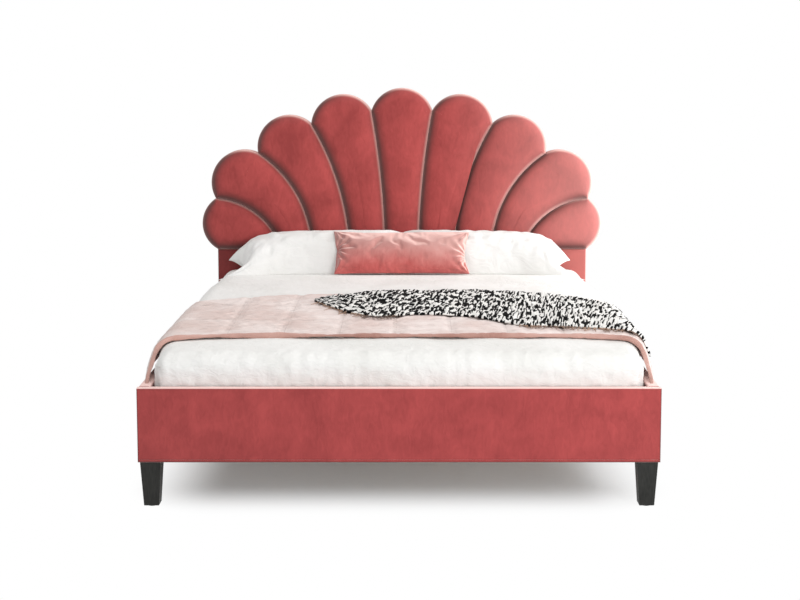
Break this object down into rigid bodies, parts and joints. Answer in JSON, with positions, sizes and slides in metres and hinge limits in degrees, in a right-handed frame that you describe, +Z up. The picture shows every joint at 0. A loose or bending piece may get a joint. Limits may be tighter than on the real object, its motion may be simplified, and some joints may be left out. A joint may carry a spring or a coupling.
{
  "type": "upholstered double bed",
  "caption": "Upholstered double bed with a fan-shaped headboard of padded petals, black tapered legs, a sprung slat base, mattress and dressed bedding.",
  "frame": {"origin": "on the floor, under the middle of the whole bed", "axes": "+X to the right seen from the foot, +Y from the foot to the headboard, +Z up"},
  "size_m": [1.8394, 2.13, 1.3269],
  "materials": {
    "petal_velvet": "rose velvet with a soft sheen",
    "panel_velvet": "rose velvet, stretched over padding",
    "rail_velvet": "rose velvet, stretched over thin padding",
    "back_cloth": "plain dark non-woven lining",
    "board": "raw particle board",
    "pine": "planed softwood",
    "beech": "bent beech laminate",
    "leg_paint": "black satin lacquer on beech",
    "black_plastic": "matt black moulding",
    "zinc_steel": "bright zinc plating",
    "black_steel": "black powder coat",
    "foam": "open-cell foam",
    "ticking": "white knitted mattress cover",
    "white_cotton": "white cotton percale",
    "pink_cotton": "dusty pink washed cotton",
    "marl_knit": "black, grey and white marled knit",
    "cushion_velvet": "coral velvet with a bright sheen"
  },
  "bodies": {
    "bed": {"beam_hangers": "zinc_steel", "block_screws": "zinc_steel", "centre_beam": "pine", "centre_leg_front": "black_steel", "centre_leg_rear": "black_steel", "centre_slat_holders": "black_plastic", "corner_blocks": "pine", "duvet": "white_cotton", "footboard_core": "board", "footboard_cover": "rail_velvet", "hanger_screws": "zinc_steel", "headboard_back_cover": "back_cloth", "headboard_board": "board", "headboard_border": "panel_velvet", "headboard_frame": "pine", "headboard_panel": "panel_velvet", "ledge_screws": "zinc_steel", "leg_bolts": "zinc_steel", "leg_front_left": "leg_paint", "leg_front_right": "leg_paint", "leg_glides": "black_plastic", "leg_rear_left": "leg_paint", "leg_rear_right": "leg_paint", "lumbar_cushion": "cushion_velvet", "mattress_core": "foam", "mattress_ticking": "ticking", "petal_boards": "board", "petal_pad_1": "petal_velvet", "petal_pad_2": "petal_velvet", "petal_pad_3": "petal_velvet", "petal_pad_4": "petal_velvet", "petal_pad_5": "petal_velvet", "petal_pad_6": "petal_velvet", "petal_pad_7": "petal_velvet", "petal_pad_8": "petal_velvet", "petal_pad_9": "petal_velvet", "petal_screws": "zinc_steel", "pillow_left": "white_cotton", "pillow_right": "white_cotton", "quilt": "pink_cotton", "rail_bolts": "zinc_steel", "rail_washers": "zinc_steel", "side_ledges": "pine", "side_rail_core_left": "board", "side_rail_core_right": "board", "side_rail_cover_left": "rail_velvet", "side_rail_cover_right": "rail_velvet", "side_slat_holders": "black_plastic", "slats_left": "beech", "slats_right": "beech", "throw": "marl_knit"},
    "front_pad": {"level_pad_front": "black_plastic"},
    "rear_pad": {"level_pad_rear": "black_plastic"},
    "front_stud": {"level_stud_front": "zinc_steel"},
    "rear_stud": {"level_stud_rear": "zinc_steel"}
  },
  "joints": [
    {"name": "front_pad_lift", "type": "slide", "parent": "bed", "child": "front_pad", "axis": [0, 0, 1], "range_m": [0, 0.015]},
    {"name": "front_stud_turn", "type": "hinge", "parent": "front_pad", "child": "front_stud", "pos_m": [0, -0.35, 0.01], "axis": [0, 0, 1], "range_deg": [0, 4320]},
    {"name": "rear_pad_lift", "type": "slide", "parent": "bed", "child": "rear_pad", "axis": [0, 0, 1], "range_m": [0, 0.015]},
    {"name": "rear_stud_turn", "type": "hinge", "parent": "rear_pad", "child": "rear_stud", "pos_m": [0, 0.35, 0.01], "axis": [0, 0, 1], "range_deg": [0, 4320]}
  ],
  "couplings": [
    {"joint": "front_pad_lift", "follows": "front_stud_turn", "m_per_rad": 0.00019894},
    {"joint": "rear_pad_lift", "follows": "rear_stud_turn", "m_per_rad": 0.00019894}
  ]
}
